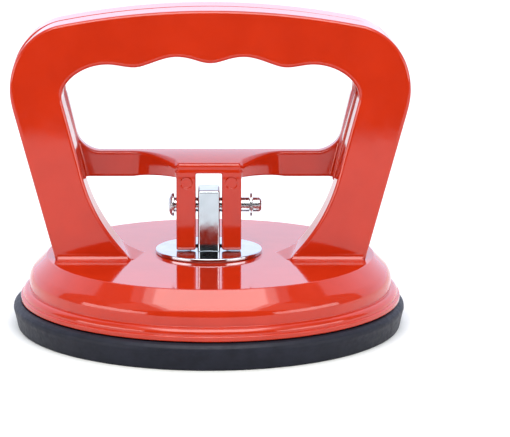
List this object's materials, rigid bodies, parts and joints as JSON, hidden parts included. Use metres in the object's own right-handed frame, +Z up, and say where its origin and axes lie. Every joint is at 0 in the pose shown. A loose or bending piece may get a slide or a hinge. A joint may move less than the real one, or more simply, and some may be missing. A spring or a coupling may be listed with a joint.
{
  "type": "vacuum suction cup",
  "caption": "Hand-held vacuum suction lifter: a rubber cup under a domed body with a fixed D handle, and a matching cam lever that raises the cup's middle.",
  "frame": {"origin": "centre of the body, on the plane that the pad's sealing land rests on", "axes": "+Z up out of the surface and along the stud; +X to the right along both handles; +Y to the back, towards the lever"},
  "size_m": [0.1184, 0.118, 0.0957],
  "materials": {
    "red_paint": "gloss",
    "pad_rubber": "satin",
    "washer_chrome": "polished",
    "stud_chrome": "polished",
    "pin_zinc": "satin",
    "plate_steel": "satin"
  },
  "bodies": {
    "base": {"body_casting": "red_paint", "wear_washer": "washer_chrome", "suction_pad": "pad_rubber"},
    "stud": {"eye_stud": "stud_chrome", "insert_plate": "plate_steel", "pivot_pin": "pin_zinc", "pin_clip": "pin_zinc"},
    "lever": {"lever_handle": "red_paint"}
  },
  "joints": [
    {"name": "stud_slide", "type": "slide", "parent": "base", "child": "stud", "axis": [0, 0, 1], "range_m": [-0.004, 0], "deforming": ["suction_pad"]},
    {"name": "lever_hinge", "type": "hinge", "parent": "stud", "child": "lever", "pos_m": [-0.00045, 0, 0.036], "axis": [-1, 0, 0], "range_deg": [0, 65]}
  ],
  "couplings": [
    {"joint": "stud_slide", "follows": "lever_hinge", "m_per_rad": -0.0035258}
  ]
}
